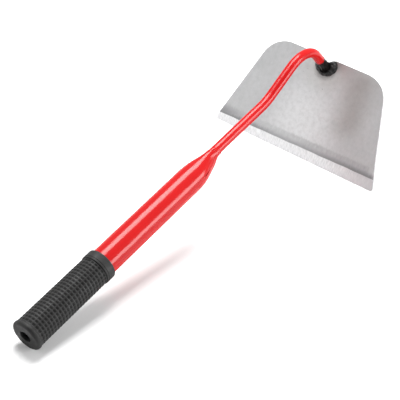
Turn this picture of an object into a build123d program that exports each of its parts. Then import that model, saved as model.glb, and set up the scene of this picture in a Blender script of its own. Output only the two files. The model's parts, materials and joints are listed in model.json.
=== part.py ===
"""Short hand hoe: a steel blade welded to a bent rod, the rod welded into a tube handle with a rubber grip.

Every piece is drawn first in the tool's own frame, in millimetres: the origin is the middle of the grip's
butt face, +X runs along the handle to the blade, and +Z is the side that the neck bulges towards.
At the end the tool is tipped about Y until it stands on the butt of its grip and its cutting edge,
with the origin below the middle of its box, +Z up and +X from the grip to the blade.
"""

from build123d import *
import math
import os

# --- rubber grip ------------------------------------------------------------
GRIP_LENGTH = 93.0
GRIP_WALL = 1.5
BUTT_WALL = 3.0
FLANGE_PROUD = 0.6
FLANGE_LENGTH = 3.6
FLANGE_ROUND = 2.5
COLLAR_PROUD = 0.6
COLLAR_LENGTH = 9.5
COLLAR_ROUND = 0.6
RIB_COUNT = 23
RIB_GROOVE_DEPTH = 0.45
RIB_GROOVE_SHARE = 0.32
HANGING_HOLE_DIAMETER = 10.5

# --- handle tube ------------------------------------------------------------
TUBE_DIAMETER = 25.0
TUBE_WALL = 1.2
ROUND_TUBE_END = 209.0
NOSE_LENGTH = 48.0
NOSE_LIP_WALL = 0.6
NOSE_SECTIONS = 9
PINCH_EASE = (2.6, 5.2)
RISE_EASE = (6.0, 3.0)
MOUTH_SETBACK = 8.0
MOUTH_LEAN = 47.0
MOUTH_LEAN_ABOVE_LEFT = 19.0
SLIT_WIDTH = 1.1
SLIT_LENGTH = 9.0
SLIT_FROM_ROUND = 14.0
SLIT_ANGLE = 20.0

# --- neck rod ---------------------------------------------------------------
ROD_DIAMETER = 9.5
ROD_OFFSET = 5.3
ROD_CLEARANCE = 0.1
ROD_DEPTH_IN_TUBE = 40.0
FIRST_BEND_AT = 328.0
FIRST_BEND_RADIUS = 55.0
RISE_ANGLE = 18.6
CREST_AT = 396.0
CREST_RADIUS = 38.0
FALL_ANGLE = 57.0
CREST_TO_BLADE = 33.6

# --- blade ------------------------------------------------------------------
BLADE_THICKNESS = 1.8
BLADE_HEIGHT = 102.4
BLADE_TOP_WIDTH = 129.7
BLADE_EDGE_WIDTH = 190.4
BLADE_TILT = 41.8
TOP_CORNER_RADIUS = 28.0
EDGE_CORNER_CLIP = 2.0
BEVEL_AT_LEFT = 7.8
BEVEL_AT_RIGHT = 11.6
EDGE_THICKNESS = 0.3
WELD_BELOW_TOP = 9.6

# --- welds ------------------------------------------------------------------
BLADE_WELD_WIDTH = 25.0
BLADE_WELD_LENGTH = 18.0
BLADE_WELD_HEIGHT = 6.0
NOSE_WELD_LENGTH = 1.8

# --- worked out from the sizes above ------------------------------------------
TUBE_RADIUS = TUBE_DIAMETER / 2
ROD_RADIUS = ROD_DIAMETER / 2
GRIP_RADIUS = TUBE_RADIUS + GRIP_WALL
FLANGE_RADIUS = GRIP_RADIUS + FLANGE_PROUD
NOSE_END = ROUND_TUBE_END + NOSE_LENGTH
ROD_BORE_RADIUS = ROD_RADIUS + ROD_CLEARANCE
NOSE_MOUTH_RADIUS = ROD_BORE_RADIUS + NOSE_LIP_WALL
tilt = math.radians(BLADE_TILT)
DOWN_BLADE = Vector(-math.sin(tilt), 0, -math.cos(tilt))
OUT_OF_BACK = Vector(math.cos(tilt), 0, -math.sin(tilt))


def across_tube(x, z=0.0):
    """The plane square to the handle at x, with its own x axis pointing up."""
    return Plane(origin=(x, 0, z), x_dir=(0, 0, 1), z_dir=(1, 0, 0))


def rod_corners():
    """The corners of the rod's centre line, from its hidden end to the blade."""
    rise = math.tan(math.radians(RISE_ANGLE))
    fall = math.tan(math.radians(FALL_ANGLE))
    crest_z = ROD_OFFSET + (CREST_AT - FIRST_BEND_AT) * rise
    run_out = CREST_TO_BLADE + 2 * ROD_DIAMETER
    return [
        (NOSE_END - ROD_DEPTH_IN_TUBE, 0, ROD_OFFSET),
        (FIRST_BEND_AT, 0, ROD_OFFSET),
        (CREST_AT, 0, crest_z),
        (CREST_AT + run_out, 0, crest_z - run_out * fall),
    ]


def weld_point():
    """Where the rod's centre line meets the blade, past the crest on its way down."""
    crest = rod_corners()[2]
    fall = math.tan(math.radians(FALL_ANGLE))
    return Vector(crest[0] + CREST_TO_BLADE, 0, crest[2] - CREST_TO_BLADE * fall)


def blade_plane():
    """The blade's inner face: origin on its top edge, local x to the right (-Y), local y up the blade."""
    top_middle = weld_point() - DOWN_BLADE * WELD_BELOW_TOP
    return Plane(origin=top_middle, x_dir=(0, -1, 0), z_dir=-OUT_OF_BACK)


def make_blade():
    """A trapezoid plate with round shoulders and clipped corners, ground from its inner face to a thin edge."""
    half_top = BLADE_TOP_WIDTH / 2
    half_edge = BLADE_EDGE_WIDTH / 2
    outline = Polyline(
        (-half_top, 0),
        (half_top, 0),
        (half_edge, -BLADE_HEIGHT),
        (-half_edge, -BLADE_HEIGHT),
        close=True,
    )
    face = make_face(outline)
    shoulders = face.vertices().group_by(Axis.Y)[-1]
    face = fillet(shoulders, TOP_CORNER_RADIUS)
    edge_corners = face.vertices().group_by(Axis.Y)[0]
    face = chamfer(edge_corners, EDGE_CORNER_CLIP)
    plate = extrude(face, -BLADE_THICKNESS)
    return blade_plane() * (plate - bevel_cutter())


def bevel_cutter():
    """The wedge that grinding takes off, wider towards the blade's right-hand end."""
    over = 10.0
    half = BLADE_EDGE_WIDTH / 2
    slope = (BEVEL_AT_RIGHT - BEVEL_AT_LEFT) / BLADE_EDGE_WIDTH
    ends = []
    for side in (-1, 1):
        x = side * (half + over)
        start = -BLADE_HEIGHT + (BEVEL_AT_LEFT + BEVEL_AT_RIGHT) / 2 + slope * x
        fall = (BLADE_THICKNESS - EDGE_THICKNESS) / (start + BLADE_HEIGHT)
        low = -(start + BLADE_HEIGHT + over) * fall
        corners = [(x, start + over, over * fall), (x, -BLADE_HEIGHT - over, low), (x, start, over * 3)]
        ends.append(make_face(Polyline(*corners, close=True)))
    return loft(ends, ruled=True)


def make_neck_rod():
    """A round bar bent twice, its end cut flush with the blade's inner face."""
    path = FilletPolyline(*rod_corners(), radius=[FIRST_BEND_RADIUS, CREST_RADIUS])
    start = across_tube(NOSE_END - ROD_DEPTH_IN_TUBE, ROD_OFFSET)
    bar = sweep(start * Circle(ROD_RADIUS), path=path)
    behind = blade_plane() * extrude(Rectangle(200, 200), -100)
    return bar - behind


def ease(share, powers):
    """A smooth run from 0 to 1: the first power holds it back at the start, the second flattens its end."""
    start, end = powers
    return 1 - (1 - share**start) ** end


def nose_section(share, inset):
    """The nose's oval at a share of its length, pinched from the sides and raised from below."""
    mouth_top = ROD_OFFSET + NOSE_MOUTH_RADIUS
    mouth_bottom = ROD_OFFSET - NOSE_MOUTH_RADIUS
    top = TUBE_RADIUS + share * (mouth_top - TUBE_RADIUS)
    bottom = -TUBE_RADIUS + ease(share, RISE_EASE) * (mouth_bottom + TUBE_RADIUS)
    half_width = TUBE_RADIUS + ease(share, PINCH_EASE) * (NOSE_MOUTH_RADIUS - TUBE_RADIUS)
    plane = across_tube(ROUND_TUBE_END + share * NOSE_LENGTH, (top + bottom) / 2)
    return plane * Ellipse((top - bottom) / 2 - inset, half_width - inset)


def tube_body(start, inset):
    """The handle's outer or inner shape: a cylinder run into the pinched nose."""
    length = ROUND_TUBE_END - start
    straight = extrude(across_tube(start) * Circle(TUBE_RADIUS - inset), length)
    shares = [number / (NOSE_SECTIONS - 1) for number in range(NOSE_SECTIONS)]
    nose = loft([nose_section(share, inset) for share in shares])
    return straight + nose


def rod_bore():
    """The round way that the rod leaves the nose by."""
    start = across_tube(ROUND_TUBE_END, ROD_OFFSET)
    return extrude(start * Circle(ROD_BORE_RADIUS), NOSE_LENGTH + 1)


def mouth_plane():
    """The nose's mouth, cut on a slant so that its left side (+Y) stands furthest back."""
    lean = math.radians(MOUTH_LEAN)
    above_left = math.radians(MOUTH_LEAN_ABOVE_LEFT)
    sideways = math.sin(lean)
    normal = (math.cos(lean), sideways * math.cos(above_left), sideways * math.sin(above_left))
    return Plane(origin=(NOSE_END - MOUTH_SETBACK, 0, ROD_OFFSET), z_dir=normal)


def make_handle_tube():
    """A steel tube whose end is slit on both sides, pinched round the rod and cut on a slant."""
    tube = tube_body(BUTT_WALL, 0.0) - tube_body(BUTT_WALL - 1, TUBE_WALL) - rod_bore()
    tube -= mouth_plane() * extrude(Rectangle(80, 80), 40)
    for side in (-1, 1):
        middle = ROUND_TUBE_END + SLIT_FROM_ROUND + SLIT_LENGTH / 2
        turn = Rot(X=side * SLIT_ANGLE) * Pos(middle, side * TUBE_RADIUS, 0)
        tube -= turn * Box(SLIT_LENGTH, 2 * TUBE_RADIUS - 4, SLIT_WIDTH)
    return tube


def rim(solid, x, radius):
    """The round edge of a solid at x with this radius."""
    rings = solid.edges().filter_by(GeomType.CIRCLE)
    return [ring for ring in rings if abs(ring.center().X - x) < 0.01 and abs(ring.radius - radius) < 0.01]


def make_grip():
    """A rubber sleeve with a closed butt, a hanging hole, a flange, a ribbed body and a plain collar."""
    hole_radius = HANGING_HOLE_DIAMETER / 2
    collar_radius = GRIP_RADIUS + COLLAR_PROUD
    groove_radius = GRIP_RADIUS - RIB_GROOVE_DEPTH
    collar_start = GRIP_LENGTH - COLLAR_LENGTH
    pitch = (collar_start - FLANGE_LENGTH) / RIB_COUNT
    groove_width = pitch * RIB_GROOVE_SHARE
    outline = [(0, hole_radius), (0, FLANGE_RADIUS), (FLANGE_LENGTH, FLANGE_RADIUS)]
    for number in range(RIB_COUNT):
        x = FLANGE_LENGTH + number * pitch
        outline += [(x, groove_radius), (x + groove_width, groove_radius)]
        outline += [(x + groove_width, GRIP_RADIUS), (x + pitch, GRIP_RADIUS)]
    outline += [(collar_start, groove_radius), (collar_start + groove_width, groove_radius)]
    outline += [(collar_start + groove_width, collar_radius), (GRIP_LENGTH, collar_radius)]
    outline += [(GRIP_LENGTH, TUBE_RADIUS), (BUTT_WALL, TUBE_RADIUS), (BUTT_WALL, hole_radius)]
    section = make_face(Polyline(*[(x, 0, r) for x, r in outline], close=True))
    sleeve = revolve(section, Axis.X)
    sleeve = sleeve.fillet(FLANGE_ROUND, rim(sleeve, 0, FLANGE_RADIUS))
    return sleeve.fillet(COLLAR_ROUND, rim(sleeve, GRIP_LENGTH, collar_radius))


def make_blade_weld(rod):
    """The bead that joins the rod to the blade: a low dome on the inner face, kept below the top edge."""
    dome = scale(Sphere(1), (BLADE_WELD_WIDTH / 2, BLADE_WELD_LENGTH / 2, BLADE_WELD_HEIGHT))
    dome = Pos(0, -WELD_BELOW_TOP, 0) * dome
    room = Pos(0, -BLADE_HEIGHT / 2, BLADE_HEIGHT / 2) * Box(BLADE_TOP_WIDTH, BLADE_HEIGHT, BLADE_HEIGHT)
    return blade_plane() * (dome & room) - rod


def make_nose_weld(rod):
    """The bead laid round the rod on the face of the nose's slanted mouth."""
    start = across_tube(ROUND_TUBE_END, ROD_OFFSET)
    bar = extrude(start * Circle(NOSE_MOUTH_RADIUS), 2 * NOSE_LENGTH)
    slab = mouth_plane() * extrude(Rectangle(80, 80), NOSE_WELD_LENGTH)
    return (bar & slab) - rod


def standing_on_the_ground(pieces):
    """Tips the pieces until butt and edge touch the ground, and centres them over the origin."""
    edge_corner = min(pieces["blade"].vertices(), key=lambda v: v.Z)
    heel = Vector(FLANGE_ROUND, 0, -(FLANGE_RADIUS - FLANGE_ROUND))
    span = Vector(edge_corner.X, 0, edge_corner.Z) - heel
    fall = math.atan2(-span.Z, span.X) - math.asin(FLANGE_ROUND / span.length)
    turn = Rot(Y=-math.degrees(fall))
    tipped = {name: turn * piece for name, piece in pieces.items()}
    box = Compound([*tipped.values()]).bounding_box(optimal=True)
    middle = box.center()
    shift = Pos(-middle.X, -middle.Y, -box.min.Z)
    return {name: shift * piece for name, piece in tipped.items()}


def make_pieces():
    blade = make_blade()
    rod = make_neck_rod()
    tube = make_handle_tube()
    return {
        "blade": blade,
        "neck_rod": rod,
        "blade_weld": make_blade_weld(rod),
        "handle_tube": tube,
        "nose_weld": make_nose_weld(rod),
        "rubber_grip": make_grip(),
    }


os.makedirs("parts", exist_ok=True)
for name, piece in standing_on_the_ground(make_pieces()).items():
    export_step(piece, f"parts/{name}.step")
    size = piece.bounding_box(optimal=True)
    print(name, "solids", len(piece.solids()), "volume", round(piece.volume), "min", size.min, "max", size.max)
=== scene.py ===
# %% [markdown]
# A short hand hoe, from the packed frame to a finished picture.
# The frame says where everything is: its nodes, its mounts and its box. It is loaded first and never
# moved. Every surface below is worked out with numpy around it, and takes the place of one node.

# %% Load the frame
import json

import bmesh
import bpy
import numpy as np
from mathutils import Matrix, Vector


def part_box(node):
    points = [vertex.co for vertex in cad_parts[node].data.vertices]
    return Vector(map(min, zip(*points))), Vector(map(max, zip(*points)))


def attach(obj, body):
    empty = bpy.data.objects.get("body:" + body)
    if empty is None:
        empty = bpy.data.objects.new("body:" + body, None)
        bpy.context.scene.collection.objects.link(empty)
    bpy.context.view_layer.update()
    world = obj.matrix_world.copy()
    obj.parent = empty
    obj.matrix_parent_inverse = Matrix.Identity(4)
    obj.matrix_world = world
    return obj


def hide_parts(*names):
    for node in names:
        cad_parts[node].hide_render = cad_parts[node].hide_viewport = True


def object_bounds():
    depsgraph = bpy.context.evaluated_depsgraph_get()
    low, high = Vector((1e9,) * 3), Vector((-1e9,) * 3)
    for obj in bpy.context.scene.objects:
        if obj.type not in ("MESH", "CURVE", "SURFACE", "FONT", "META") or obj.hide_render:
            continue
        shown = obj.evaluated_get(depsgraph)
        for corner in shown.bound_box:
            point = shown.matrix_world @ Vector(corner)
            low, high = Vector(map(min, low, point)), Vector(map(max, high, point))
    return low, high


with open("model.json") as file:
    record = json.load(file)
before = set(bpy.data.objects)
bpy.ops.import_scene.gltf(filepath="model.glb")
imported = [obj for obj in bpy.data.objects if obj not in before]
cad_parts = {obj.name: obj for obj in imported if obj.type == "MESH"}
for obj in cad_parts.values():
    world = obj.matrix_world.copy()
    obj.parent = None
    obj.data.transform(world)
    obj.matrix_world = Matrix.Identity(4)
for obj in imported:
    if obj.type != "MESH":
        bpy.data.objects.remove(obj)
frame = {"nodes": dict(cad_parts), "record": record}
cad_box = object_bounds()
print("frame nodes:", sorted(frame["nodes"]))

# %% [markdown]
# The hoe is easiest to describe along its own handle: x from the butt of the grip to the blade, y to
# the left, z towards the side that the neck bulges to, all in millimetres. The hanging hole's mount
# gives the direction of the handle and its middle, so the hoe's axes come from it, and one function
# carries finished points into the frame, in metres.

# %% The hoe's own axes
BUTT_WALL = 3.0
hanging_hole = next(m for m in frame["record"]["mounts"] if m["name"] == "hanging_hole")
along = -np.array(hanging_hole["axis"])
along /= np.linalg.norm(along)
leftward = np.array([0.0, 1.0, 0.0])
bulge = np.cross(along, leftward)
butt = np.array(hanging_hole["pos_m"]) - along * BUTT_WALL / 2 / 1000
hoe_axes = np.stack([along, leftward, bulge])


def in_frame(points):
    """Hoe millimetres to frame metres: the butt's place plus each coordinate along its axis."""
    return butt + np.asarray(points) @ hoe_axes / 1000


print("butt of the grip at", butt.round(4), "handle along", along.round(4))

# %% [markdown]
# A shape here is a grid: rows and columns of points that a formula places. Neighbouring points make
# four-sided faces, and where grids meet, or a row shrinks to one point, the doubled points are merged,
# so each piece is one closed skin that faces outwards.

# %% From grids of points to a piece
def grid_faces(rows, columns, ring_rows=False, ring_columns=False):
    """Point numbers of every four-sided face of a grid, round the end too where it is a ring."""
    number = np.arange(rows * columns).reshape(rows, columns)
    if ring_rows:
        number = np.concatenate([number, number[:1]])
    if ring_columns:
        number = np.concatenate([number, number[:, :1]], axis=1)
    corners = [number[:-1, :-1], number[:-1, 1:], number[1:, 1:], number[1:, :-1]]
    return np.stack(corners, axis=-1).reshape(-1, 4)


def make_piece(name, grids, sharp_angle=32, **marks):
    """One mesh from several (points, ring_rows, ring_columns) grids in hoe millimetres.

    Each mark is a number per point, in the order of the grids, kept as an attribute for materials."""
    points, faces, first = [], [], 0
    for grid, ring_rows, ring_columns in grids:
        points.append(grid.reshape(-1, 3))
        faces.append(grid_faces(*grid.shape[:2], ring_rows, ring_columns) + first)
        first += len(points[-1])
    mesh = bpy.data.meshes.new(name)
    mesh.from_pydata(in_frame(np.concatenate(points)), [], np.concatenate(faces))
    for mark, values in marks.items():
        layer = mesh.attributes.new(mark, "FLOAT", "POINT")
        layer.data.foreach_set("value", np.ascontiguousarray(values, dtype=np.float32).ravel())
    bm = bmesh.new()
    bm.from_mesh(mesh)
    bmesh.ops.remove_doubles(bm, verts=bm.verts, dist=2e-6)
    bmesh.ops.recalc_face_normals(bm, faces=bm.faces)
    bm.to_mesh(mesh)
    open_edges = sum(1 for e in bm.edges if not e.is_manifold)
    bm.free()
    mesh.polygons.foreach_set("use_smooth", np.ones(len(mesh.polygons), bool))
    mesh.set_sharp_from_angle(angle=np.radians(sharp_angle))
    piece = bpy.data.objects.new(name, mesh)
    bpy.context.scene.collection.objects.link(piece)
    mesh.calc_loop_triangles()
    print(name, "triangles:", len(mesh.loop_triangles), "open edges:", open_edges)
    return piece


def fit_node(piece, node, material):
    """The piece rides on the hoe, stands for a node, takes its slot's finish, and is compared with it."""
    piece.data.materials.append(material)
    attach(piece, "root")
    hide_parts(node)
    corners = np.array([v.co for v in piece.data.vertices])
    low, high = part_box(node)
    gaps = np.concatenate([corners.min(0) - np.array(low), corners.max(0) - np.array(high)]) * 1000
    print(node, "box differs by mm", gaps.round(2))


print("faces of a 3 by 4 grid:", len(grid_faces(3, 4)), "as a ring:", len(grid_faces(3, 4, ring_rows=True)))

# %% [markdown]
# Real surfaces are never perfect, so many shapes get a little waviness. A few sine waves that run in
# different directions, added up, look random but are the same every time.

# %% Smooth waviness
def waves(points, length, seed, count=7):
    """Mean of sines along random directions, each about the given length, between -1 and 1."""
    rng = np.random.default_rng(seed)
    directions = rng.normal(size=(count, 3))
    directions /= np.linalg.norm(directions, axis=1, keepdims=True)
    lengths = length * rng.uniform(0.6, 1.6, count)
    phases = rng.uniform(0, 2 * np.pi, count)
    turns = np.asarray(points) @ (directions / lengths[:, None]).T * 2 * np.pi + phases
    return np.sin(turns).mean(-1) * 1.6


def ramp(value, start, end):
    """0 before start, 1 after end, and a smooth S between."""
    t = np.clip((np.asarray(value, float) - start) / (end - start), 0, 1)
    return t * t * (3 - 2 * t)


def dot(value, middle, width):
    """A soft bump: 1 at the middle, falling off like a bell."""
    return np.exp(-(((np.asarray(value, float) - middle) / width) ** 2))


print("waves 5 mm apart:", waves(np.arange(0, 20, 5.0)[:, None] * along, 40, seed=1).round(2))

# %% [markdown]
# The camera looks down at the hoe from the side of the grip, with a long lens and a little tilt, so
# the blade stands up behind the handle. A camera looks along its own -Z, so its axes are built from
# the direction that it looks in, and turned about it by the tilt.

# %% Camera
CAMERA_AT = (-0.70465, -0.48714, 0.66833)
LOOKS_ALONG = (0.66414, 0.45116, -0.59613)
CAMERA_ROLL = 5.476
LENS = 106.69
AIM_TRIM = 0.0004218

sight = Vector(LOOKS_ALONG).normalized()
level = sight.cross(Vector((0, 0, 1))).normalized()
right_hand = Matrix.Rotation(np.radians(-CAMERA_ROLL), 3, sight) @ level
overhead = right_hand.cross(sight)
sight = (sight - right_hand * AIM_TRIM + overhead * AIM_TRIM).normalized()
right_hand = (right_hand - sight * right_hand.dot(sight)).normalized()
overhead = right_hand.cross(sight)
camera = bpy.data.objects.new("camera", bpy.data.cameras.new("camera"))
camera.data.lens = LENS
camera.data.sensor_width = 36
camera.data.clip_start = 0.01
turn = Matrix((right_hand, overhead, -sight)).transposed()
camera.matrix_world = Matrix.Translation(CAMERA_AT) @ turn.to_4x4()
bpy.context.scene.collection.objects.link(camera)
bpy.context.scene.camera = camera
print("camera right", [round(c, 4) for c in right_hand], "up", [round(c, 4) for c in overhead])

# %% [markdown]
# Materials are little programs of nodes. Writing them link by link is long, so a small helper holds
# one node tree and adds noise, mixes and colour bands to it. Patterns are given in millimetres on
# the hoe's own axes. A dot product with each axis carries object coordinates onto them, which also
# works for the blade's axes: right, down and out are a left-handed set, and no rotation gives those.

# %% A helper for materials
class Finish:
    """One material: its node tree, its main shader, and short calls for the nodes that recur."""

    def __init__(self, name, **shader_values):
        self.material = bpy.data.materials.new(name)
        self.material.use_nodes = True
        self.nodes = self.material.node_tree.nodes
        self.links = self.material.node_tree.links
        self.shader = self.nodes["Principled BSDF"]
        for socket, value in shader_values.items():
            self.shader.inputs[socket.replace("_", " ")].default_value = value

    def node(self, kind, **values):
        """A new node, with its settings or input numbers given by name."""
        made = self.nodes.new("ShaderNode" + kind)
        for key, value in values.items():
            if hasattr(made, key):
                setattr(made, key, value)
            else:
                made.inputs[key.replace("_", " ")].default_value = value
        return made

    def set(self, socket, source):
        """Joins an output, or puts a number, to an input socket."""
        if isinstance(source, (int, float, tuple)):
            socket.default_value = source
        else:
            self.links.new(source, socket)

    def mm(self, origin, axes):
        """Object coordinates as millimetres along three axes, counted from an origin in metres."""
        here = self.node("VectorMath", operation="SUBTRACT")
        self.links.new(self.node("TexCoord").outputs["Object"], here.inputs[0])
        here.inputs[1].default_value = tuple(origin)
        made = self.node("CombineXYZ")
        for axis, socket in zip(np.asarray(axes) * 1000, made.inputs):
            reach = self.node("VectorMath", operation="DOT_PRODUCT")
            self.links.new(here.outputs["Vector"], reach.inputs[0])
            reach.inputs[1].default_value = tuple(axis)
            self.links.new(reach.outputs["Value"], socket)
        return made.outputs["Vector"]

    def stretched(self, vector, scale):
        """The same coordinates, drawn out or squeezed along each axis."""
        mapping = self.node("Mapping")
        mapping.inputs["Scale"].default_value = scale
        self.links.new(vector, mapping.inputs["Vector"])
        return mapping.outputs["Vector"]

    def noise(self, vector, scale, detail=4.0, roughness=0.55):
        """Cloudy noise between 0 and 1 with so many lumps per millimetre."""
        made = self.node("TexNoise", Scale=scale, Detail=detail, Roughness=roughness)
        self.links.new(vector, made.inputs["Vector"])
        return made.outputs["Fac"]

    def mark(self, name):
        """A number that the mesh keeps at each point."""
        return self.node("Attribute", attribute_name=name).outputs["Fac"]

    def maths(self, operation, first, second=0.0):
        """One sum, product or the like of two numbers or outputs."""
        made = self.node("Math", operation=operation)
        self.set(made.inputs[0], first)
        self.set(made.inputs[1], second)
        return made.outputs[0]

    def times(self, first, *others):
        """The product of several outputs or numbers, in turn."""
        for other in others:
            first = self.maths("MULTIPLY", first, other)
        return first

    def band(self, value, low, high, out_low=0.0, out_high=1.0):
        """Turns the stretch from low to high into out_low to out_high, with a smooth S."""
        made = self.node("MapRange", interpolation_type="SMOOTHSTEP",
                         From_Min=low, From_Max=high, To_Min=out_low, To_Max=out_high)
        self.links.new(value, made.inputs["Value"])
        return made.outputs["Result"]

    def blend(self, amount, first, second, data_type="RGBA"):
        """Goes from the first colour, or vector, to the second as the amount goes from 0 to 1."""
        made = self.node("Mix", data_type=data_type)
        self.set(made.inputs["Factor"], amount)
        self.set(made.inputs["A"], first)
        self.set(made.inputs["B"], second)
        return made.outputs["Result"]

    def bump(self, height, millimetres, strength=1.0, under=None):
        """Raises the surface by the height times so many millimetres, on top of another bump."""
        made = self.node("Bump", Strength=strength, Distance=millimetres / 1000)
        self.links.new(height, made.inputs["Height"])
        if under is not None:
            self.links.new(under, made.inputs["Normal"])
        return made.outputs["Normal"]

    def wear(self, **sources):
        """Joins what was worked out to the main shader, and gives the finished material."""
        for socket, source in sources.items():
            self.set(self.shader.inputs[socket.replace("_", " ")], source)
        return self.material


print("Finish can:", [call for call in vars(Finish) if not call.startswith("_")])

# %% [markdown]
# Red enamel: a thick gloss paint over steel. A clear coat gives the sharp reflections, and the colour
# under it shifts a little where the paint ran thick or thin. Paint never dries quite flat, so a very
# low, wide bump breaks up the reflections, and specks of dust sit in it.

# %% Red enamel
GLOSS_COAT = 0.45


def red_enamel(name, burnt=False):
    """Gloss red with slow changes of tone, orange-peel and dust, and near-black painted shade where the
    mark says inside; near a weld it can be burnt away.
    """
    finish = Finish(name, Specular_IOR_Level=0.0, Coat_Weight=GLOSS_COAT, Coat_Roughness=0.18, Coat_IOR=1.5)
    place = finish.mm(butt, hoe_axes)
    shade = finish.noise(place, 0.045, 3)
    colour = finish.blend(shade, (0.37, 0.0052, 0.0054, 1), (0.44, 0.0075, 0.008, 1))
    dust = finish.band(finish.noise(place, 1.7, 2), 0.70, 0.76)
    colour = finish.blend(dust, colour, (0.42, 0.012, 0.012, 1))
    roughness = finish.band(finish.noise(place, 0.12, 4), 0.3, 0.7, 0.22, 0.32)
    peel = finish.bump(finish.noise(place, 0.16, 2), 0.02, 0.30)
    skin = finish.bump(finish.noise(place, 1.4, 3), 0.0012, 0.25, under=peel)
    if not burnt:
        # Inside the tube and down in the fold the colour goes near-black and the coat goes: painted shade
        # over unpainted steel.
        colour = finish.blend(finish.mark("inside"), colour, (0.014, 0.010, 0.009, 1))
        coat = finish.times(finish.maths("SUBTRACT", 1.0, finish.mark("inside")), GLOSS_COAT)
        return finish.wear(Base_Color=colour, Roughness=roughness, Normal=skin, Coat_Weight=coat)
    ragged = finish.band(finish.noise(place, 0.55, 5), 0.2, 0.8, -0.22, 0.22)
    edge = finish.maths("ADD", finish.mark("burn"), ragged)
    gone = finish.band(edge, 0.36, 0.76)
    browned = finish.band(edge, 0.20, 0.48)
    colour = finish.blend(browned, colour, (0.15, 0.006, 0.006, 1))
    specks = finish.noise(place, 0.9, 5)
    scale_colour = finish.blend(specks, (0.003, 0.003, 0.003, 1), (0.014, 0.012, 0.011, 1))
    colour = finish.blend(gone, colour, scale_colour)
    # A thin light grey streak under the bar by the weld: a painted highlight.
    colour = finish.blend(finish.mark("bare"), colour, (0.34, 0.33, 0.31, 1))
    crust = finish.bump(finish.noise(place, 0.8, 5), 0.5, 0.7, under=skin)
    skin = finish.blend(gone, skin, crust, data_type="VECTOR")
    roughness = finish.maths("ADD", roughness, finish.times(gone, 0.10))
    coat = finish.maths("SUBTRACT", GLOSS_COAT, finish.times(gone, 0.15))
    return finish.wear(Base_Color=colour, Roughness=roughness, Normal=skin, Coat_Weight=coat)


tube_enamel = red_enamel("red_enamel_tube")
rod_enamel = red_enamel("red_enamel_rod", burnt=True)
print("made", tube_enamel.name, rod_enamel.name)

# %% [markdown]
# The handle is a round tube. Past its round part it is pressed in from both sides and swept up to the
# neck rod, and the two pressed walls overlap in a fold on the right, which gapes for a few millimetres
# before it closes. A loft through a few rings would miss the fold, so the section is a formula: an
# ellipse whose top, bottom and width each follow their own curve along the nose, with a narrow groove
# pressed into one side. The tube has a real wall, its mouth is cut on a slant, and two faint paint
# runs stand on it. A mark says where no paint got in: past the lip, and down in the fold. The enamel
# paints those places near-black, as painted shade inside the tube and in the fold.

# %% Handle tube
TUBE_RADIUS, TUBE_WALL, LIP_WALL = 12.5, 1.2, 0.35
NOSE_START, NOSE_LENGTH = 209.0, 48.0
ROD_RADIUS, ROD_OFFSET, MOUTH_RADIUS = 4.75, 5.3, 5.2
GROOVE_WIDTH, PINCHED_RADIUS = 0.42, 8.0
GRIP_LENGTH = 93.0
MOUTH_AT = np.array([246.7, 0.0, ROD_OFFSET])
lean, lean_up = np.radians(40), np.radians(19)
MOUTH_FACING = np.array([np.cos(lean), np.sin(lean) * np.cos(lean_up), np.sin(lean) * np.sin(lean_up)])


def ease(t, power, back):
    """0 to 1, slow to start and slow to stop, each by its own power."""
    return 1 - (1 - t**power) ** back


def nose_ring(s, angle, wall=0.0):
    """Ellipse at share s of the nose: its top runs straight to the rod, its bottom sweeps up, and
    its sides pinch."""
    top = TUBE_RADIUS + s * (ROD_OFFSET + MOUTH_RADIUS - TUBE_RADIUS)
    swept = 1 - (1 - ease(s, 6.0, 3.0)) * (1 - 0.85 * ramp(s, 0.66, 0.86))
    bottom = -TUBE_RADIUS + swept * (ROD_OFFSET - MOUTH_RADIUS + TUBE_RADIUS)
    width = TUBE_RADIUS + ease(s, 2.6, 5.2) * (MOUTH_RADIUS - TUBE_RADIUS)
    y = (width - wall) * np.cos(angle)
    z = (top + bottom) / 2 + ((top - bottom) / 2 - wall) * np.sin(angle)
    return np.stack([NOSE_START + NOSE_LENGTH * s, y, z], axis=-1)


def slit_gape(x):
    """How open the fold is along the nose: shut, open for a few millimetres, and shut again."""
    return ramp(x, 219.5, 223.5) * (1 - ramp(x, 228, 232))


def across_fold(angle, x):
    """Millimetres round the tube from the fold's line, which climbs a little towards the mouth."""
    middle = np.pi + np.radians(-16.0) + 0.10 * ramp(x, 216, 246)
    return np.angle(np.exp(1j * (angle - middle))) * PINCHED_RADIUS


def from_core(points):
    """Directions to the points from the tube's middle line, which climbs to the rod in the nose."""
    x = points[..., 0]
    spokes = points - np.stack([x, 0 * x, ROD_OFFSET * ramp(x, 205, 245)], axis=-1)
    return spokes / np.linalg.norm(spokes, axis=-1, keepdims=True)


def fold(points, angle):
    """The fold on the right: a narrow groove that opens, gapes and closes, the wall above it proud."""
    x = points[..., 0]
    across = across_fold(angle, x)
    gape = 2.6 * slit_gape(x) + 0.5 * ramp(x, 213, 222) * (1 - ramp(x, 248, 254))
    groove = gape * np.exp(-np.abs(across / GROOVE_WIDTH) ** 1.6)
    step = 0.35 * ramp(x, 212, 224) * np.tanh(across / 0.7) * dot(across, 0, 6)
    return points - from_core(points) * (groove + step)[..., None]


by_fold = np.arange(140, 200, 0.75)
round_tube = np.radians(np.concatenate([np.arange(0, 140, 3.0), by_fold, np.arange(200, 360, 3.0)]))
tube_x = np.concatenate([np.linspace(3.0, GRIP_LENGTH, 16), np.arange(94.5, NOSE_START, 1.5)])
share, column = np.meshgrid(np.linspace(0, 1, 76), round_tube, indexing="ij")
mouth_share = np.full(round_tube.shape, 0.8)
for _ in range(12):
    miss = (nose_ring(mouth_share, round_tube) - MOUTH_AT) @ MOUTH_FACING
    mouth_share -= miss / (NOSE_LENGTH * MOUTH_FACING[0])
nose_s = share * mouth_share


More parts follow.
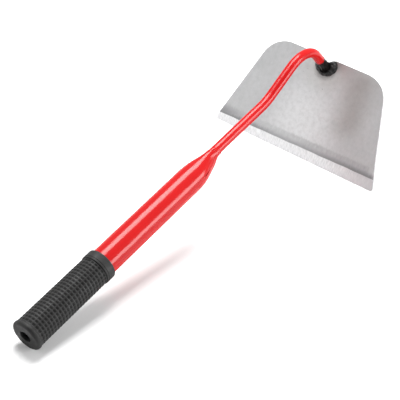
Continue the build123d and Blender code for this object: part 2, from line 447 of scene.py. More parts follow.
def tube_skin(wall_start, wall_end):
    """Round rows of the straight part, then the nose's rows, each pulled in by the wall."""
    x, angle = np.meshgrid(tube_x, round_tube, indexing="ij")
    radius = TUBE_RADIUS - wall_start
    straight = np.stack([x, radius * np.cos(angle), radius * np.sin(angle)], axis=-1)
    wall = wall_start + (wall_end - wall_start) * ramp(nose_s, 0.0, 0.9)
    return np.concatenate([straight, fold(nose_ring(nose_s, column, wall), column)])


outer = tube_skin(0.0, 0.0)
x_out = outer[..., 0]
angle_out = np.arctan2(outer[..., 2], outer[..., 1])
runs = 0.16 * dot(x_out, 152, 1.6) * dot(angle_out, np.radians(-172), 0.13)
runs += 0.12 * dot(x_out, 196, 1.2) * dot(angle_out, np.radians(-170), 0.10)
handmade = 0.018 * waves(outer, 40, seed=3) * ramp(x_out, 96, 110)
outer = outer + from_core(outer) * (runs + handmade)[..., None]
inner = tube_skin(TUBE_WALL, LIP_WALL)
lip = (outer[-1:] + inner[-1:]) / 2 + MOUTH_FACING * 0.18
tube_points = np.concatenate([outer, lip, inner[::-1]])
past_lip = np.arange(len(tube_points)) > len(outer) + 4
across_out = across_fold(np.tile(round_tube, (len(outer), 1)), x_out)
in_slit = slit_gape(x_out) * np.exp(-(across_out / GROOVE_WIDTH) ** 4)
in_slit = np.pad(0.92 * in_slit, ((0, len(tube_points) - len(outer)), (0, 0)))
# Unpainted places, which the enamel paints near-black as painted shade: past the lip, and down in the fold.
unpainted_and_shaded = np.maximum(past_lip[:, None], in_slit)
handle_tube = make_piece("handle_tube_skin", [(tube_points, True, True)], inside=unpainted_and_shaded)
fit_node(handle_tube, "handle_tube", tube_enamel)

# %% [markdown]
# The neck is a bar of round steel, bent cold twice: up a little past the tube, then hard over a crest
# and down to the blade. Its centre line is straight runs joined by arcs. Because it stays in one
# plane, the ring at each step only needs the direction there and the level line across it. The last
# stretch was burnt by the welder, so it carries scale: low lumps, and a mark that the paint reads. A
# second mark is a thin light grey streak under the bar, a painted highlight.

# %% Neck rod
RISE, FALL = np.radians(18.6), np.radians(57.0)
BAR_START, BAR_STEP = 217.0, 0.8
FIRST_BEND_AT, FIRST_BEND_RADIUS = 328.0, 55.0
CREST_AT, CREST_RADIUS, CREST_TO_BLADE = 396.0, 38.0, 33.6
BURNT_LENGTH = 21.0
crest_z = ROD_OFFSET + (CREST_AT - FIRST_BEND_AT) * np.tan(RISE)
weld_at = np.array([CREST_AT + CREST_TO_BLADE, 0, crest_z - CREST_TO_BLADE * np.tan(FALL)])


def bent_bar(corners, radii, spacing):
    """Points and directions along straight runs joined by arcs: each arc starts and ends one
    tangent length from its corner."""
    steps = np.diff(corners, axis=0)
    lengths = np.linalg.norm(steps, axis=1)
    heads = np.arctan2(steps[:, 1], steps[:, 0])
    turns = np.diff(heads)
    reach = np.concatenate([[0], radii * np.tan(np.abs(turns) / 2), [0]])
    runs = lengths - reach[:-1] - reach[1:]
    arcs = radii * np.abs(turns)
    pieces = np.zeros(len(runs) + len(arcs))
    pieces[0::2], pieces[1::2] = runs, arcs
    ends = np.concatenate([[0], np.cumsum(pieces)])
    along_bar = np.linspace(0, ends[-1], int(ends[-1] / spacing) + 1)
    rates = np.zeros(len(pieces))
    rates[1::2] = np.sign(turns) / radii
    which = np.clip(np.searchsorted(ends, along_bar, side="right") - 1, 0, len(pieces) - 1)
    head_starts = heads[0] + np.concatenate([[0], np.cumsum(pieces * rates)])
    head = head_starts[which] + (along_bar - ends[which]) * rates[which]
    middle = (head[1:] + head[:-1]) / 2
    moves = np.diff(along_bar)[:, None] * np.stack([np.cos(middle), np.sin(middle)], axis=-1)
    return along_bar, corners[0] + np.concatenate([[[0, 0]], np.cumsum(moves, axis=0)]), head


bar_corners = np.array([[BAR_START, ROD_OFFSET], [FIRST_BEND_AT, ROD_OFFSET], [CREST_AT, crest_z],
                        weld_at[[0, 2]]])
bar_at, bar_line, bar_head = bent_bar(bar_corners, np.array([FIRST_BEND_RADIUS, CREST_RADIUS]), BAR_STEP)
bar_left = bar_at[-1] - bar_at
round_bar = np.radians(np.arange(0, 360, 4.0))
reach_at, angle = np.meshgrid(bar_left, round_bar, indexing="ij")
normal = np.stack([-np.sin(bar_head), 0 * bar_head, np.cos(bar_head)], axis=-1)[:, None]
centre = np.stack([bar_line[:, 0], 0 * bar_head, bar_line[:, 1]], axis=-1)[:, None]
spoke = np.cos(angle)[..., None] * leftward + np.sin(angle)[..., None] * normal
burn = 1 - ramp(reach_at, BURNT_LENGTH - 5, BURNT_LENGTH + 5)
bar = centre + spoke * ROD_RADIUS
flattened = -0.10 * (ramp(reach_at, 20, 40) - ramp(reach_at, 55, 80)) * np.sin(angle) ** 2
scale_lumps = burn * (0.24 * waves(bar, 3.2, seed=11) + 0.14 * waves(bar, 1.6, seed=12))
bar = centre + spoke * (ROD_RADIUS + flattened + scale_lumps + 0.02 * waves(bar, 25, seed=13))[..., None]
# A thin streak under the bar near its end, where the painted highlight goes.
bare = 0.75 * dot(angle, np.radians(270), 0.045) * ramp(reach_at, 2, 5) * (1 - ramp(reach_at, 14, 21))
start_cap, end_cap = bar[:1] * 0 + centre[:1], bar[:1] * 0 + centre[-1:]
rod_points = np.concatenate([start_cap, bar, end_cap])
burn, bare = (np.concatenate([mark[:1], mark, mark[-1:]]) for mark in (burn, bare))
neck_rod = make_piece("neck_rod_skin", [(rod_points, False, True)], burn=burn, bare=bare)
fit_node(neck_rod, "neck_rod", rod_enamel)

# %% [markdown]
# Where the rod leaves the tube there is a small weld bead, painted over with the same enamel. It is a
# ring that follows the slanted mouth, fat in some places and thin in others, with the overlapping
# ripples of a bead. A torus would be too even, so its thickness is a formula of the angle.

# %% Nose weld
def painted_bead():
    """Ring round the rod on the mouth plane: a half-round section whose reach and height change
    with the angle."""
    turn_at = np.radians(np.arange(0, 360, 3.0))
    section = np.radians(np.linspace(0, 360, 24, endpoint=False))
    sweep, cut = np.meshgrid(turn_at, section, indexing="ij")
    ripple = 0.10 * np.abs(np.sin(sweep * 9 + 0.6))
    ripple = ripple + 0.22 * np.sin(sweep * 2 + 1.0) + 0.12 * np.sin(sweep * 5)
    lump = dot(sweep, np.radians(100), 0.42)
    thick = 0.42 + 0.35 * ripple + 0.95 * lump
    radius = ROD_RADIUS + 0.05 + thick * (0.35 + 0.60 * np.cos(cut))
    y, z = radius * np.cos(sweep), ROD_OFFSET + radius * np.sin(sweep)
    flat = ((MOUTH_AT - np.stack([0 * y, y, z], axis=-1)) @ MOUTH_FACING) / MOUTH_FACING[0]
    spread = 0.9 + 1.5 * lump
    x = flat + 0.4 - 0.55 * spread + 0.5 + thick * spread * np.sin(cut)
    return np.stack([x, y, z], axis=-1)


nose_bead = make_piece("nose_weld_bead", [(painted_bead(), True, True)])
fit_node(nose_bead, "nose_weld", tube_enamel)

# %% [markdown]
# The blade is plate steel, wider at its edge than at its top, with two round top corners and a bevel
# ground on its inner face. Cutting an outline from a plate in the modeller gives no points inside it
# for wear to hold on to. Here the face is a grid instead: across from side to side, and down from the
# top edge, with rows that bend to follow the slanted bevel line. The outline's half width at each
# height is the formula, and a narrow rounded rim joins the two faces.

# %% Blade axes and outline
BLADE_TILT = np.radians(41.8)
BLADE_HEIGHT, TOP_WIDTH, EDGE_WIDTH = 102.4, 129.7, 190.4
CORNER_RADIUS, THICKNESS, EDGE_THICKNESS = 28.0, 1.8, 0.3
BEVEL_LEFT, BEVEL_RIGHT, WELD_BELOW_TOP = 7.8, 11.6, 9.6
BEVEL_MEAN, BEVEL_SLANT = (BEVEL_LEFT + BEVEL_RIGHT) / 2, (BEVEL_RIGHT - BEVEL_LEFT) / EDGE_WIDTH
CORNER_CLIP = 2.0
NOTCH_DEPTH, NOTCH_MIDDLE, NOTCH_HALF_WIDTH = 3.9, -1.6, 7.0
blade_down = np.array([-np.sin(BLADE_TILT), 0, -np.cos(BLADE_TILT)])
blade_out = np.array([-np.cos(BLADE_TILT), 0, np.sin(BLADE_TILT)])
blade_right = np.array([0, -1.0, 0])
blade_top = weld_at - blade_down * WELD_BELOW_TOP
blade_axes = np.stack([blade_right, blade_down, blade_out])
slope = (EDGE_WIDTH - TOP_WIDTH) / 2 / BLADE_HEIGHT
corner_half = (np.pi / 2 + np.arctan(slope)) / 2
corner_in = CORNER_RADIUS / np.tan(corner_half)


def half_width(down):
    """Half the blade's width so far down: an arc at the top corner, then a straight slant, then the
    clipped corner."""
    arc_middle = TOP_WIDTH / 2 - corner_in
    arc = arc_middle + np.sqrt(np.clip(CORNER_RADIUS**2 - (CORNER_RADIUS - down) ** 2, 0, None))
    side = TOP_WIDTH / 2 + slope * down
    arc_end = corner_in * np.cos(np.arctan(slope))
    clip = CORNER_CLIP * ramp(down, BLADE_HEIGHT - 2.4, BLADE_HEIGHT + 0.9)
    return np.where(down < arc_end, arc, side) - clip


def on_blade(right, down, out):
    """Blade millimetres, from the middle of its top edge, to hoe millimetres."""
    return blade_top + np.stack([right, down, out], axis=-1) @ blade_axes


def bevel_height(right):
    """How far above the edge the bevel starts: it was ground a little slanted, and not quite straight."""
    line = BEVEL_MEAN + BEVEL_SLANT * right
    return line + 0.12 * np.sin(right / 7.3) + 0.10 * np.sin(right / 3.1 + 1.0)


print("blade half width at top, middle and edge", half_width(np.array([0, 51.2, BLADE_HEIGHT])).round(1))

# %% [markdown]
# The rows of the face start level, and the lower ones are shifted little by little until one of them
# lies on the bevel line. The bevel then thins the plate to its edge. The welder's heat melted a small
# notch in the top edge beside the rod, and there is one small pit by the bevel line. A mark keeps how
# far down the bevel each point is, and another marks the rim, so the finish can tell them apart.

# %% Blade
arc_rows = CORNER_RADIUS * (1 - np.cos(np.linspace(0, np.pi / 2 - np.arctan(slope), 22)))
bevel_from = BLADE_HEIGHT - BEVEL_MEAN
plate_rows = np.linspace(arc_rows[-1], bevel_from, 60)[1:]
bevel_rows = BLADE_HEIGHT - BEVEL_MEAN * (1 - np.linspace(0, 1, 15)[1:])
rows = np.concatenate([arc_rows, plate_rows, bevel_rows])
down_base, share_across = np.meshgrid(rows, np.linspace(-1, 1, 181), indexing="ij")
past = np.clip((down_base - bevel_from) / BEVEL_MEAN, 0, 1)
down = down_base.copy()
for _ in range(4):
    across = share_across * half_width(down)
    shift = (BEVEL_MEAN - bevel_height(across)) * ramp(down_base, 30, bevel_from)
    down = down_base + shift * (1 - past)
melted = NOTCH_DEPTH * np.exp(-((across - NOTCH_MIDDLE) / NOTCH_HALF_WIDTH) ** 4)
melted = melted * (1 - ramp(down_base, 0.5, 7.0))
nicks = melted + 0.10 * waves(np.stack([across, down * 0, down * 0], axis=-1), 5, seed=21) * (past > 0.999)
pit = 0.25 * dot(across, 72, 0.7) * dot(down, BLADE_HEIGHT - 9.4, 0.7)
face_in = on_blade(across, down + nicks, -(THICKNESS - EDGE_THICKNESS) * past - pit)
face_back = on_blade(across, down + nicks, -THICKNESS - 0 * past)
roll = 0.05 * waves(np.stack([across, down, 0 * down], axis=-1), 70, seed=22)[..., None] * blade_out
face_in, face_back = face_in + roll, face_back + roll


def rim_of(grid):
    """The points round the outside of a grid, in order."""
    return np.concatenate([grid[0, :-1], grid[:-1, -1], grid[-1, :0:-1], grid[:0:-1, 0]])


rim_front, rim_rear = rim_of(face_in), rim_of(face_back)
ahead = np.roll(rim_front, -1, axis=0) - np.roll(rim_front, 1, axis=0)
away = np.cross(ahead, blade_out)
away /= np.linalg.norm(away, axis=1, keepdims=True)
away *= np.sign(((rim_front - on_blade(0, 60, 0)) * away).sum(1, keepdims=True))
rim_share = np.linspace(0, 1, 7)[:, None, None]
plump = np.minimum(0.22, 0.3 * np.linalg.norm(rim_front - rim_rear, axis=1))[:, None]
round_out = np.sin(np.pi * rim_share) ** 0.5
rim = rim_front * (1 - rim_share) + rim_rear * rim_share + away * plump * round_out
face_zeros = 0 * past.ravel()
bevel_mark = np.concatenate([past.ravel(), face_zeros, np.zeros(rim[..., 0].size)])
rim_mark = np.concatenate([face_zeros, face_zeros, np.broadcast_to(round_out, rim[..., :1].shape).ravel()])
blade = make_piece("blade_plate", [(face_in, False, False), (face_back, False, False), (rim, False, True)],
                   sharp_angle=25, bevel=bevel_mark, rim=rim_mark)
print("blade mesh spans", [round(v, 1) for v in (across.min(), across.max(), down.max())])

# %% [markdown]
# The plate's finish is satin: rolled steel, brushed lightly, with cloudy stains. On top of them sit a
# brighter patch low in the middle, a painted reflection, and a darker band right of the rod, painted
# shade of the rod. Above the bevel runs a darker band, and just over the bevel line a narrow dark band
# of painted shade; the bevel itself is bright, with fine lines square to the edge. The plate is darker
# close round the weld, the welder's heat left a warm tint by it, and scorched the rim of the notch.
# Each of those is a place on the blade, so the material reads blade millimetres and the marks.

# %% Blade steel
def soft_box(finish, right, down, left_at, right_at, top_at, bottom_at, blur):
    """1 inside a soft-edged patch of the blade, 0 outside it."""
    wide = finish.times(finish.band(right, left_at - blur, left_at + blur),
                        finish.band(right, right_at - blur, right_at + blur, 1.0, 0.0))
    tall = finish.times(finish.band(down, top_at - blur, top_at + blur),
                        finish.band(down, bottom_at - blur, bottom_at + blur, 1.0, 0.0))
    return finish.times(wide, tall)


def blade_steel():
    """Satin steel with its stains, painted reflection and shade, heat marks and ground edge, each at its
    own place.
    """
    finish = Finish("satin_blade_steel", Metallic=1.0, Specular_IOR_Level=0.5)
    place = finish.mm(in_frame(blade_top), blade_axes @ hoe_axes)
    parts = finish.node("SeparateXYZ")
    finish.links.new(place, parts.inputs[0])
    right, down, out = parts.outputs
    bevel = finish.band(finish.mark("bevel"), 0.005, 0.03)
    inner_face = finish.band(out, -1.55, -1.0)
    cloud = finish.noise(place, 0.035, 5)
    mottle = finish.noise(place, 0.22, 6, 0.65)
    grain = finish.noise(finish.stretched(place, (1.0, 0.10, 1.0)), 1.6, 4, 0.7)
    plate = finish.blend(cloud, (0.36, 0.36, 0.365, 1), (0.46, 0.46, 0.465, 1))
    # A brighter patch low in the middle of the plate: a painted reflection.
    painted_reflection_patch = soft_box(finish, right, down, -34.0, 34.0, 34.0, 100.0, 26.0)
    plate = finish.blend(finish.times(painted_reflection_patch, 0.75), plate, (0.60, 0.60, 0.605, 1))
    plate = finish.blend(finish.band(mottle, 0.35, 0.75, 0.0, 0.35), plate, (0.34, 0.34, 0.34, 1))
    plate = finish.blend(finish.band(grain, 0.3, 0.8, 0.0, 0.18), plate, (0.62, 0.62, 0.63, 1))
    # A darker band to the right of the rod, from the top edge down: painted shade of the rod.
    streak = soft_box(finish, right, down, 31.0, 56.0, 2.0, 64.0, 13.0)
    streak = finish.times(streak, finish.band(cloud, 0.2, 0.8, 0.42, 0.85))
    plate = finish.blend(streak, plate, (0.275, 0.266, 0.254, 1))
    foot = finish.node("CombineXYZ", Y=WELD_BELOW_TOP)
    gap = finish.node("VectorMath", operation="DISTANCE")
    flat = finish.stretched(place, (1.0, 1.0, 0.0))
    finish.links.new(flat, gap.inputs[0])
    finish.links.new(foot.outputs[0], gap.inputs[1])
    reach = finish.maths("ADD", gap.outputs["Value"], finish.band(mottle, 0.0, 1.0, -3.0, 3.0))
    # Darker close round the weld, and a warm tint a little farther out.
    halo = finish.band(reach, 9.0, 14.5, 0.45, 0.0)
    straw = finish.band(reach, 14.0, 32.0, 0.12, 0.0)
    plate = finish.blend(straw, plate, (0.40, 0.34, 0.27, 1))
    plate = finish.blend(halo, plate, (0.13, 0.12, 0.115, 1))
    from_edge = finish.maths("SUBTRACT", BLADE_HEIGHT, down)
    slanted = finish.maths("SUBTRACT", from_edge, finish.times(right, BEVEL_SLANT))
    chatter = finish.noise(finish.stretched(place, (1.0, 0.03, 1.0)), 0.34, 3, 0.6)
    ragged = finish.maths("ADD", slanted, finish.band(grain, 0.2, 0.8, -0.7, 0.7))
    ragged = finish.maths("ADD", ragged, finish.band(chatter, 0.3, 0.7, -0.8, 0.8))
    # A darker band above the bevel on the inner face, stopping short of the right end.
    dark_band_above_bevel = finish.times(
        finish.band(ragged, 18.0, 20.4, 1.0, 0.0), finish.band(right, 83.0, 85.5, 1.0, 0.0), inner_face,
        finish.band(chatter, 0.3, 0.7, 0.35, 0.75), finish.band(right, -60.0, 30.0, 0.5, 1.0))
    plate = finish.blend(dark_band_above_bevel, plate, (0.30, 0.30, 0.305, 1))
    # A narrow dark band just above the bevel line, stronger away from the middle and at the left end:
    # painted shade.
    from_middle = finish.maths("ABSOLUTE", right)
    bevel_line_shade = finish.times(finish.band(ragged, 10.2, 15.5, 0.9, 0.0), inner_face,
                        finish.band(from_middle, 10.0, 75.0, 0.55, 1.0))
    left_end = finish.times(finish.band(ragged, 11.0, 23.0, 0.8, 0.0),
                            finish.band(right, -88.0, -58.0, 1.0, 0.0), inner_face)
    bevel_line_shade = finish.maths("MAXIMUM", bevel_line_shade, left_end)
    plate = finish.blend(bevel_line_shade, plate, (0.20, 0.20, 0.205, 1))
    lines = finish.noise(finish.stretched(place, (1.0, 0.035, 1.0)), 1.15, 3, 0.6)
    bright = finish.blend(finish.band(lines, 0.3, 0.7), (0.47, 0.47, 0.48, 1), (0.63, 0.63, 0.635, 1))
    bright = finish.blend(finish.band(right, 35.0, 95.0, 0.0, 0.70), bright, (0.40, 0.40, 0.41, 1))
    colour = finish.blend(bevel, plate, bright)
    colour = finish.blend(finish.mark("rim"), colour, (0.11, 0.11, 0.115, 1))
    scorched = finish.times(finish.band(reach, 10.0, 13.5, 1.0, 0.0), finish.band(down, 3.5, 6.5, 1.0, 0.0))
    colour = finish.blend(scorched, colour, (0.012, 0.011, 0.010, 1))
    roughness = finish.band(mottle, 0.2, 0.8, 0.36, 0.50)
    roughness = finish.maths("ADD", roughness, finish.times(halo, 0.2))
    roughness = finish.maths("ADD", roughness, finish.times(bevel, -0.08))
    scratch = finish.bump(lines, 0.03, 0.35)
    skin = finish.bump(grain, 0.02, 0.30)
    skin = finish.bump(mottle, 0.04, 0.35, under=skin)
    skin = finish.blend(bevel, skin, scratch, data_type="VECTOR")
    return finish.wear(Base_Color=colour, Roughness=roughness, Normal=skin)


fit_node(blade, "blade", blade_steel())

# %% [markdown]
# The weld at the blade is a thick, rough ring of melted steel, still black with slag. It is a cap over
# the blade face: for every direction round the rod the outline says how far it spreads, and the height
# rises from that line, stays high, and dips beside the rod. Overlapping scallops and small lumps come
# on top, and fade towards the rod. A few drops of spatter froze on the plate around it.

# %% Blade weld
weld_turns = np.radians([0, 18, 51, 91, 129, 162, 180, 198, 215,
                         232, 245, 270, 286, 296, 308, 323, 338, 352])
weld_reach = np.array([11.6, 10.9, 9.1, 8.6, 9.0, 10.9, 12.8, 12.9, 11.4,
                       8.2, 5.6, 4.9, 5.8, 9.6, 11.6, 12.9, 12.6, 11.8])
WELD_HEIGHT, WELD_ROOT, WELD_INNER = 4.3, -0.4, 3.6


def weld_outline(turn):
    """Distance from the rod's foot to the bead's outline: a closed smooth curve through the reaches."""
    even_turns = np.linspace(0, 2 * np.pi, 64, endpoint=False)
    even_reach = np.interp(even_turns, weld_turns, weld_reach, period=2 * np.pi)
    harmonics = np.fft.rfft(even_reach) / len(even_turns)
    order = np.arange(len(harmonics))
    smooth = np.exp(-(order / 14.0) ** 2) * np.where(order == 0, 1, 2)
    return (np.exp(1j * np.multiply.outer(turn, order)) @ (harmonics * smooth)).real


def weld_cap():
    """Rings from the outline in to the rod: height is a round shoulder, scallops by angle, and lumps."""
    turn = np.linspace(0, 2 * np.pi, 240, endpoint=False)
    share = np.concatenate([np.linspace(0, 0.2, 9), np.linspace(0.2, 1.0, 30)[1:]])
    share, turn = np.meshgrid(share, turn, indexing="ij")
    reach = weld_outline(turn) * (1 + 0.020 * np.sin(turn * 7 + 2) + 0.012 * np.sin(turn * 13))
    radius = WELD_INNER + (reach - WELD_INNER) * (1 - share)
    right, down = radius * np.cos(turn), WELD_BELOW_TOP + radius * np.sin(turn)
    shoulder = np.sin(np.clip(share / 0.62, 0, 1) * np.pi / 2) ** 0.75
    dip = 1 - 0.30 * ramp(share, 0.55, 0.95)
    place = np.stack([right, down, 0 * down], axis=-1)
    scallop = 0.30 * np.abs(np.sin(turn * 5.5 + share * 2.2 + 0.8 * np.sin(turn * 2))) - 0.15
    lumps = 0.75 * waves(place, 7.0, seed=31) + 0.42 * waves(place, 3.0, seed=32)
    lumps = lumps + 0.20 * waves(place, 1.3, seed=33)
    rough = (scallop + lumps) * ramp(share, 0.02, 0.25) * (1 - 0.92 * ramp(share, 0.45, 0.80))
    side = 1 + 0.22 * np.cos(turn - np.radians(200))
    height = WELD_HEIGHT * side * shoulder * dip * ramp(reach, 4.6, 8.5) + rough
    sag = 0.5 * waves(place, 4.0, seed=34) * (1 - share) * share * 4
    height = np.maximum(height, 0.02 + 0.3 * share)
    top = on_blade(right + sag * np.cos(turn), down + sag * np.sin(turn), height)
    zero = 0 * right[:1]
    closing = on_blade(zero, WELD_BELOW_TOP + zero, 1.0 + zero)
    foot_ring = on_blade(right[:1], down[:1], WELD_ROOT + zero)
    foot = on_blade(zero, WELD_BELOW_TOP + zero, WELD_ROOT + zero)
    return np.concatenate([foot, foot_ring, top, closing])


def spatter(right, down, size, seed):
    """A frozen drop: a squashed ball of rings that closes in a pole above and below."""
    turn = np.linspace(0, 2 * np.pi, 10, endpoint=False)
    lift, turn = np.meshgrid(np.linspace(-np.pi / 2, np.pi / 2, 7), turn, indexing="ij")
    wobble = 1 + 0.15 * np.sin(turn * 3 + seed)
    return on_blade(right + size * np.cos(lift) * np.cos(turn) * wobble,
                    down + size * np.cos(lift) * np.sin(turn) * wobble, 0.7 * size * np.sin(lift))


DROPS = 9
weld_grids = [(weld_cap(), False, True)]
rng = np.random.default_rng(5)
for seed in range(DROPS):
    turn, reach = rng.uniform(0.1, np.pi - 0.1), rng.uniform(14, 27)
    drop = spatter(reach * np.cos(turn) * 1.1, WELD_BELOW_TOP + reach * np.sin(turn) * 0.8,
                   rng.uniform(0.16, 0.34), seed)
    weld_grids.append((drop, False, True))
blade_weld = make_piece("blade_weld_bead", weld_grids, sharp_angle=60)


def burnt_weld():
    """Black slag and clean metal: dark lumps, half glossy, with small bright flecks on the high spots."""
    finish = Finish("burnt_weld_slag", Specular_IOR_Level=0.34)
    place = finish.mm(in_frame(blade_top), blade_axes @ hoe_axes)
    lumps = finish.noise(place, 0.45, 6, 0.65)
    flecks = finish.band(finish.noise(place, 1.9, 3), 0.64, 0.72)
    colour = finish.blend(lumps, (0.0025, 0.0025, 0.0025, 1), (0.011, 0.010, 0.0095, 1))
    metal = finish.times(flecks, 0.6)
    colour = finish.blend(metal, colour, (0.14, 0.13, 0.12, 1))
    roughness = finish.band(finish.noise(place, 0.8, 4), 0.3, 0.7, 0.24, 0.62)
    skin = finish.bump(lumps, 0.8, 0.6)
    skin = finish.bump(finish.noise(place, 2.4, 4), 0.18, 0.5, under=skin)
    return finish.wear(Base_Color=colour, Roughness=roughness, Normal=skin, Metallic=metal)


fit_node(blade_weld, "blade_weld", burnt_weld())

# %% [markdown]
# The grip is moulded rubber pushed over the tube. Its skin is a basket of small pockets: ribs round
# the grip crossed by thin ridges along it. At the butt it ends in a round flange and a face with the
# hanging hole, and at the front in a smooth collar behind a groove, with one more fine groove round the
# collar itself. All of it is one outline turned about the handle, which runs out along the outside and
# back along the bore. This cell draws the outline.

# %% Grip outline
GRIP_RADIUS, FLANGE_RADIUS, COLLAR_RADIUS, HOLE_RADIUS = 14.0, 14.6, 14.6, 5.25
RIB_START, RIB_END, RIBS, RIDGES = 4.6, 82.4, 23, 24
COLLAR_START = 83.6
POCKET_DEPTH = 0.70


def corner_arc(x, r, radius, from_angle, to_angle, count=6):
    """Points on a quarter round of the outline, about (x, r)."""
    a = np.radians(np.linspace(from_angle, to_angle, count))
    return np.stack([x + radius * np.cos(a), r + radius * np.sin(a)], axis=-1)


def collar_groove(x):
    """A fine rounded groove cut round the collar."""
    return np.array([[x - 0.45, COLLAR_RADIUS], [x - 0.25, COLLAR_RADIUS - 0.35], [x, COLLAR_RADIUS - 0.45],
                     [x + 0.25, COLLAR_RADIUS - 0.35], [x + 0.45, COLLAR_RADIUS]])


rib_pitch = (RIB_END - RIB_START) / RIBS
in_pitch = np.array([0.0, 0.10, 0.26, 0.36, 0.46, 0.64, 0.76, 0.86])
rib_x = (RIB_START + rib_pitch * (np.arange(RIBS)[:, None] + in_pitch)).ravel()
outline = np.concatenate([
    corner_arc(0.7, HOLE_RADIUS + 0.7, 0.7, 270, 180),
    np.stack([np.zeros(12), np.linspace(HOLE_RADIUS + 1.0, FLANGE_RADIUS - 2.5, 12)], axis=-1),
    corner_arc(2.5, FLANGE_RADIUS - 2.5, 2.5, 180, 90, 10)[1:],
    corner_arc(3.3, FLANGE_RADIUS - 0.3, 0.3, 90, 0, 4),
    [[3.75, GRIP_RADIUS], [4.2, GRIP_RADIUS]],
    np.stack([rib_x, np.full(rib_x.shape, GRIP_RADIUS)], axis=-1),
    [[RIB_END, GRIP_RADIUS], [RIB_END + 0.35, GRIP_RADIUS - 0.1], [RIB_END + 0.5, GRIP_RADIUS - 0.55],
     [COLLAR_START - 0.35, GRIP_RADIUS - 0.55], [COLLAR_START - 0.15, GRIP_RADIUS - 0.2]],
    corner_arc(COLLAR_START + 0.5, COLLAR_RADIUS - 0.5, 0.5, 180, 90, 5),
    collar_groove(COLLAR_START + 1.9),
    np.stack([np.linspace(COLLAR_START + 3.0, GRIP_LENGTH - 1.6, 6), np.full(6, COLLAR_RADIUS)], axis=-1),
    corner_arc(GRIP_LENGTH - 0.7, COLLAR_RADIUS - 0.7, 0.7, 90, 0, 6),
    [[GRIP_LENGTH, TUBE_RADIUS + 0.35], [GRIP_LENGTH - 0.35, TUBE_RADIUS + 0.02], [60.0, TUBE_RADIUS],
     [BUTT_WALL, TUBE_RADIUS], [BUTT_WALL, HOLE_RADIUS + 2.0], [BUTT_WALL, HOLE_RADIUS]]])
print("grip outline points:", len(outline))

# %% [markdown]
# Turning the outline gives a grid of steps along it and angles round it. The pockets are pressed into
# the ribbed part only: each is deep where it is between two ribs and between two ridges, with soft
# walls. Pressing them by formula keeps one clean grid, where cutting hundreds of boxes would not. A
# small tick stands beside the hanging hole.

# %% Grip
ridge_steps = np.array([0.0, 0.08, 0.14, 0.20, 0.35, 0.5, 0.65, 0.80, 0.86, 0.92])
ridge_pitch = np.radians(360.0 / RIDGES)
ridge_angle = ridge_pitch * (np.arange(RIDGES)[:, None] + ridge_steps).ravel()
step_row, angle = np.meshgrid(np.arange(len(outline)), ridge_angle, indexing="ij")
x, radius = outline[step_row, 0], outline[step_row, 1]
rib_phase = (x - RIB_START) / rib_pitch % 1.0
ridge_phase = angle / ridge_pitch % 1.0
in_ribs = (np.abs(radius - GRIP_RADIUS) < 1e-6) & (x >= RIB_START) & (x <= RIB_END)
across_pocket = ramp(rib_phase, 0.26, 0.46) * (1 - ramp(rib_phase, 0.76, 1.0))
round_pocket = ramp(ridge_phase, 0.08, 0.20) * (1 - ramp(ridge_phase, 0.80, 0.92))
pocket = in_ribs * across_pocket * round_pocket
shallow_slot = 0.12 * in_ribs * across_pocket
skin_points = np.stack([x, radius * np.cos(angle), radius * np.sin(angle)], axis=-1)
outside = (radius > TUBE_RADIUS + 0.3) & (x > 0.0)
soft = 0.05 * waves(skin_points, 30, seed=41) * outside
radius = radius - POCKET_DEPTH * pocket - shallow_slot + soft
tick = 0.35 * dot(radius, HOLE_RADIUS + 1.6, 0.7) * dot(angle, np.radians(100), 0.10) * (x < 0.3)
grip_points = np.stack([x + tick, radius * np.cos(angle), radius * np.sin(angle)], axis=-1)
grip = make_piece("rubber_grip_skin", [(grip_points, True, True)], sharp_angle=50,
                  pocket=np.maximum(pocket, shallow_slot))


def black_rubber():
    """Matt black: dusty on the ribs, darker and duller in the pockets as painted shade, with a fine moulded
    grain.
    """
    finish = Finish("black_rubber", Specular_IOR_Level=0.27)
    place = finish.mm(butt, hoe_axes)
    cloud = finish.noise(place, 0.09, 4)
    fine_grain = finish.noise(place, 2.2, 4)
    colour = finish.blend(cloud, (0.0085, 0.0085, 0.0085, 1), (0.015, 0.0147, 0.0144, 1))
    dust = finish.band(finish.noise(place, 0.5, 5), 0.45, 0.75, 0.0, 0.35)
    colour = finish.blend(dust, colour, (0.024, 0.0235, 0.023, 1))
    # Darker in the pockets and slots: painted shade in the recesses.
    deep = finish.band(finish.mark("pocket"), 0.1, 0.9, 0.0, 0.6)
    colour = finish.blend(deep, colour, (0.004, 0.004, 0.004, 1))
    roughness = finish.band(cloud, 0.3, 0.7, 0.52, 0.68)
    skin = finish.bump(fine_grain, 0.08, 0.4)
    return finish.wear(Base_Color=colour, Roughness=roughness, Normal=skin)


fit_node(grip, "rubber_grip", black_rubber())

# %% [markdown]
# The hoe stands on a plain pale floor, on the butt of its grip and its cutting edge. The floor is far
# larger than the view, so bright steel finds something pale to mirror. From low down its far end does
# show, so it glows more with distance, which keeps the horizon close to white.

# %% Floor
FLOOR_REACH, FLOOR_LINES, FLOOR_BELOW = 16.0, 9, 0.0002


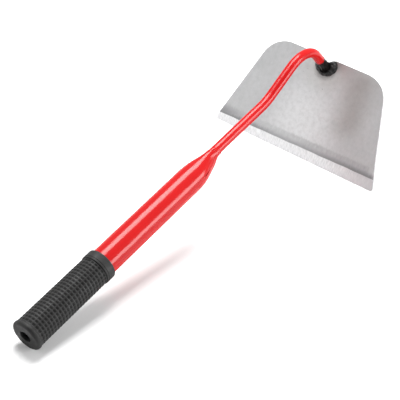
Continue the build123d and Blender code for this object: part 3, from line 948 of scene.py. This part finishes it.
def pale_floor():
    """A flat grid of squares, a hair below the height that the hoe stands on."""
    lines = np.linspace(-FLOOR_REACH, FLOOR_REACH, FLOOR_LINES)
    x, y = np.meshgrid(lines, lines, indexing="ij")
    mesh = bpy.data.meshes.new("floor")
    flat = np.stack([x, y, 0 * x + cad_box[0].z - FLOOR_BELOW], axis=-1).reshape(-1, 3)
    mesh.from_pydata(flat, [], grid_faces(FLOOR_LINES, FLOOR_LINES)[:, ::-1])
    floor = bpy.data.objects.new("floor", mesh)
    bpy.context.scene.collection.objects.link(floor)
    finish = Finish("pale_floor", Roughness=0.8, Specular_IOR_Level=0.2, Emission_Color=(1, 1, 1, 1))
    place = finish.mm((0, 0, 0), np.eye(3))
    colour = finish.blend(finish.noise(place, 0.004, 2), (0.72, 0.72, 0.72, 1), (0.75, 0.75, 0.75, 1))
    far = finish.node("VectorMath", operation="LENGTH")
    finish.links.new(place, far.inputs[0])
    glow = finish.band(far.outputs["Value"], 900.0, 4500.0, 0.12, 0.75)
    mesh.materials.append(finish.wear(Base_Color=colour, Emission_Strength=glow))
    return floor


floor = pale_floor()
print("floor at", round(cad_box[0].z, 4))

# %% [markdown]
# Soft studio light: a pale room all round, and long soft boxes set along the handle. A shiny tube
# shows each soft box as one long streak, at half the angle between the camera and the light, so
# the boxes are placed by that angle, round the handle from the camera's own direction.

# %% Light
STRIP_DISTANCE, STRIP_AHEAD = 1.5, 0.83
tube_middle = in_frame((170.0, 0, 0))
blade_middle = in_frame(on_blade(0.0, 55.0, 0.0))


def room(level, dim):
    """A pale room, with a dim side behind the camera, where nothing is lit."""
    world = bpy.data.worlds.new("studio")
    bpy.context.scene.world = world
    world.use_nodes = True
    nodes, links = world.node_tree.nodes, world.node_tree.links
    facing = nodes.new("ShaderNodeVectorMath")
    facing.operation = "DOT_PRODUCT"
    facing.inputs[1].default_value = -Vector(LOOKS_ALONG)
    links.new(nodes.new("ShaderNodeTexCoord").outputs["Generated"], facing.inputs[0])
    scale = nodes.new("ShaderNodeMapRange")
    scale.interpolation_type = "SMOOTHSTEP"
    for key, number in (("From Min", 0.45), ("From Max", 0.92), ("To Min", level), ("To Max", dim)):
        scale.inputs[key].default_value = number
    links.new(facing.outputs["Value"], scale.inputs["Value"])
    links.new(scale.outputs["Result"], nodes["Background"].inputs["Strength"])
    nodes["Background"].inputs["Color"].default_value = (1.0, 1.0, 1.0, 1)


def hang_light(name, place, towards, size, brightness):
    """A rectangle of light at a place, facing a point, its long side along the handle."""
    back = Vector(place - towards).normalized()
    long_side = Vector(along) - back * back.dot(Vector(along))
    long_side.normalize()
    data = bpy.data.lights.new(name, "AREA")
    data.shape = "RECTANGLE"
    data.size, data.size_y = size
    data.energy = brightness * np.pi * size[0] * size[1]
    light = bpy.data.objects.new(name, data)
    axes = Matrix((long_side, back.cross(long_side), back)).transposed()
    light.matrix_world = Matrix.Translation(place) @ axes.to_4x4()
    bpy.context.scene.collection.objects.link(light)
    print(name, "at", [round(c, 2) for c in light.location])


def beside_handle(degrees):
    """A strip's place: off the tube, turned about it from the camera's side, and ahead along it."""
    to_camera = np.array(CAMERA_AT) - tube_middle
    to_camera -= along * (to_camera @ along)
    to_camera /= np.linalg.norm(to_camera)
    turn = np.radians(degrees)
    turned = to_camera * np.cos(turn) + np.cross(along, to_camera) * np.sin(turn)
    return tube_middle + turned * STRIP_DISTANCE + along * STRIP_AHEAD


room(0.70, 0.05)
hang_light("strip_low", beside_handle(47), tube_middle, (1.1, 0.66), 13.5)
hang_light("strip_high", beside_handle(-52), tube_middle, (1.1, 0.90), 18.0)
blade_panel_at = blade_middle + np.array([-0.853, 0.451, 0.32]) * 1.6
hang_light("blade_panel", blade_panel_at, blade_middle, (1.3, 1.3), 1.0)
bpy.context.scene.view_settings.view_transform = "Standard"

# %% [markdown] Last come the sizes.

# %% Sizes and finish
print("cad box", [[round(v, 4) for v in c] for c in cad_box])
